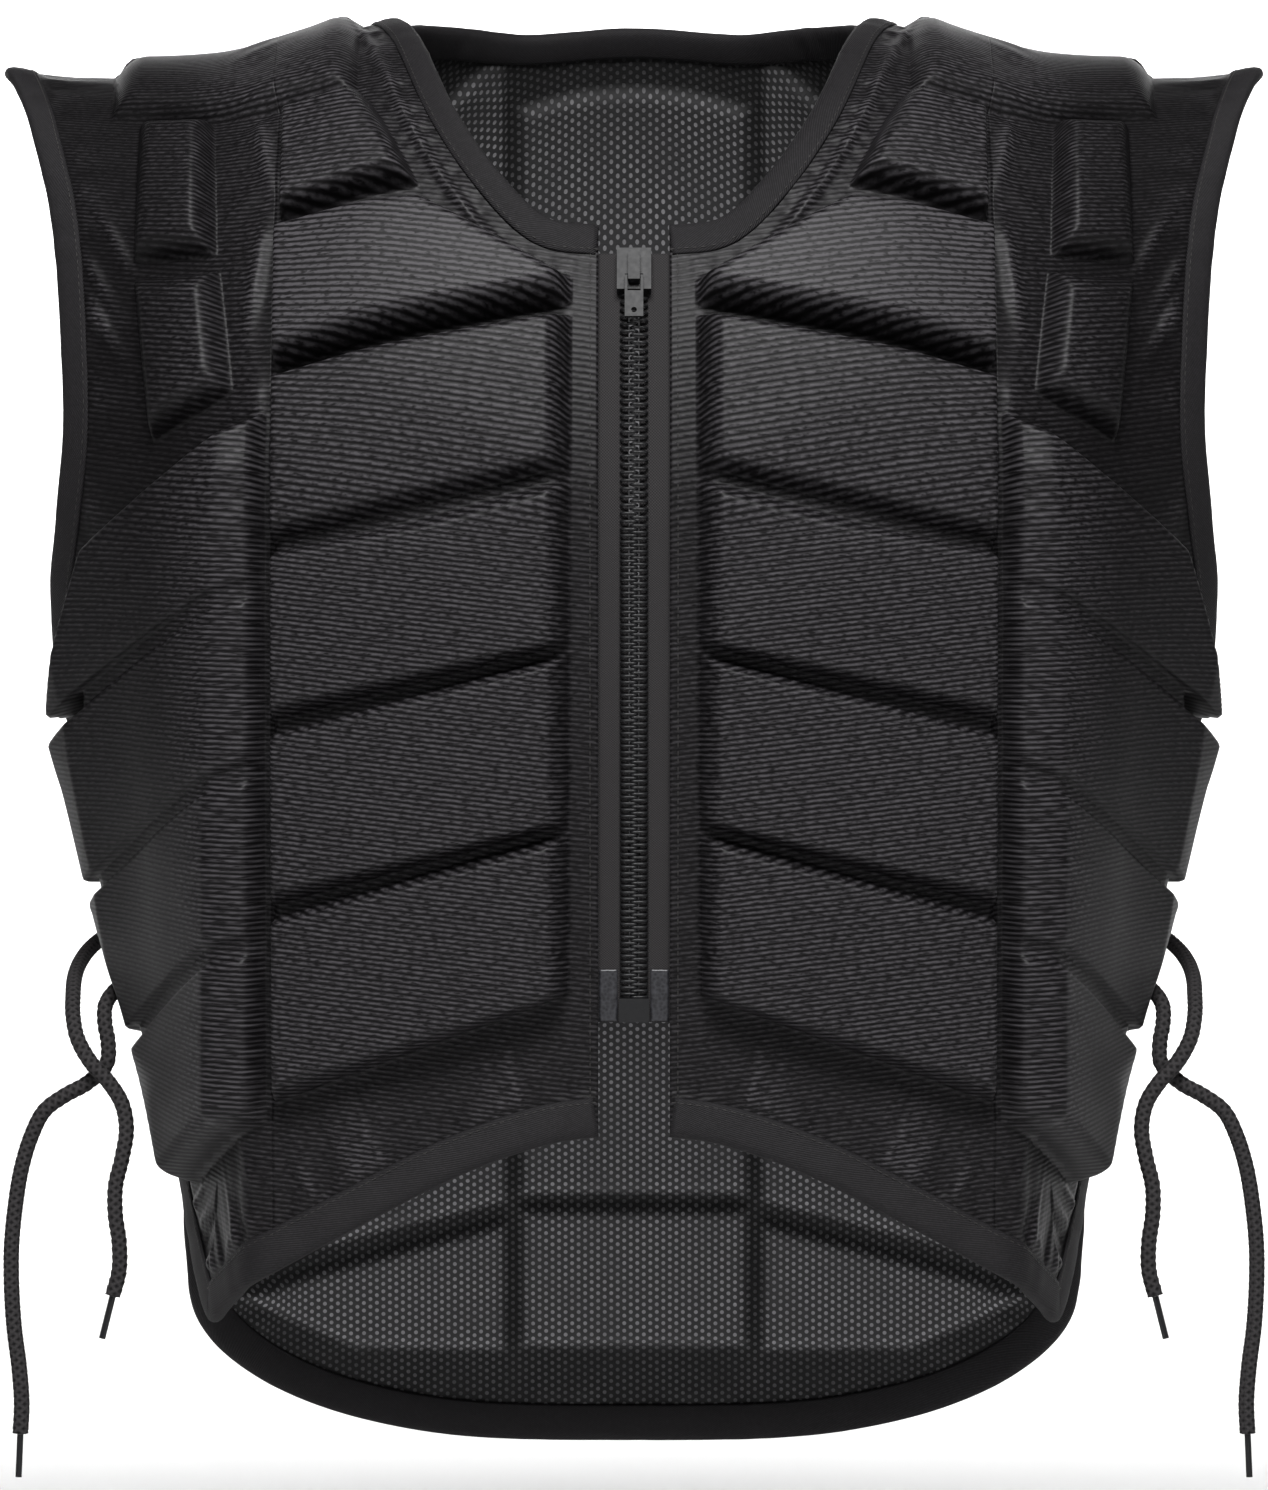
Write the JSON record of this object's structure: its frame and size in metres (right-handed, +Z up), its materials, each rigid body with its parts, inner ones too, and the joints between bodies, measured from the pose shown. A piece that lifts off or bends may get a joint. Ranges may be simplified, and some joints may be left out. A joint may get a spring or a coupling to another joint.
{
  "type": "equestrian body protector",
  "caption": "Sleeveless padded riding vest with segmented foam blocks, front zip, bound edges, scooped tail and side laces, in its worn shape.",
  "frame": {"origin": "midway between the two shoulders, level with the straps where the vest rests on the wearer", "axes": "+Z up, -Y the way the wearer faces, +X the wearer's left"},
  "size_m": [0.503, 0.276, 0.5859],
  "materials": {
    "cover": "ribbed stretch fabric with a satin sheen, lined with perforated mesh",
    "padding": "foam block under ribbed satin stretch fabric",
    "binding_tape": "matt twill tape",
    "enamelled_metal": "black enamel, semi-gloss",
    "nylon": "black nylon, satin",
    "lace_cord": "round braided polyester cord"
  },
  "bodies": {
    "vest": {"arm_binding_left": "binding_tape", "arm_binding_right": "binding_tape", "back_shell": "cover", "front_shell_left": "cover", "front_shell_right": "cover", "hem_binding_left": "binding_tape", "hem_binding_right": "binding_tape", "lace_long_left": "lace_cord", "lace_long_right": "lace_cord", "lace_long_tip_left": "nylon", "lace_long_tip_right": "nylon", "lace_short_left": "lace_cord", "lace_short_right": "lace_cord", "lace_short_tip_left": "nylon", "lace_short_tip_right": "nylon", "neck_binding": "binding_tape", "pad_arm_1_left": "padding", "pad_arm_1_right": "padding", "pad_arm_2_left": "padding", "pad_arm_2_right": "padding", "pad_chest_1_left": "padding", "pad_chest_1_right": "padding", "pad_chest_2_left": "padding", "pad_chest_2_right": "padding", "pad_chest_3_left": "padding", "pad_chest_3_right": "padding", "pad_chest_4_left": "padding", "pad_chest_4_right": "padding", "pad_chest_5_left": "padding", "pad_chest_5_right": "padding", "pad_collarbone_left": "padding", "pad_collarbone_right": "padding", "pad_flank_1_left": "padding", "pad_flank_1_right": "padding", "pad_flank_2_left": "padding", "pad_flank_2_right": "padding", "pad_flank_3_left": "padding", "pad_flank_3_right": "padding", "pad_shoulder_left": "padding", "pad_shoulder_right": "padding", "pad_side_1_left": "padding", "pad_side_1_right": "padding", "pad_side_2_left": "padding", "pad_side_2_right": "padding", "pad_side_3_left": "padding", "pad_side_3_right": "padding", "pad_side_4_left": "padding", "pad_side_4_right": "padding", "pad_spine_1": "padding", "pad_spine_2": "padding", "pad_spine_3": "padding", "pad_spine_4": "padding", "tail_binding": "binding_tape", "zip_box": "nylon", "zip_coil": "nylon", "zip_slider": "enamelled_metal", "zip_tape_left": "binding_tape", "zip_tape_right": "binding_tape"},
    "pull": {"zip_pull": "enamelled_metal"}
  },
  "joints": [
    {"name": "pull_hinge", "type": "hinge", "parent": "vest", "child": "pull", "pos_m": [0, -0.11723, -0.08424], "axis": [-1, 0, 0], "range_deg": [0, 140]}
  ]
}
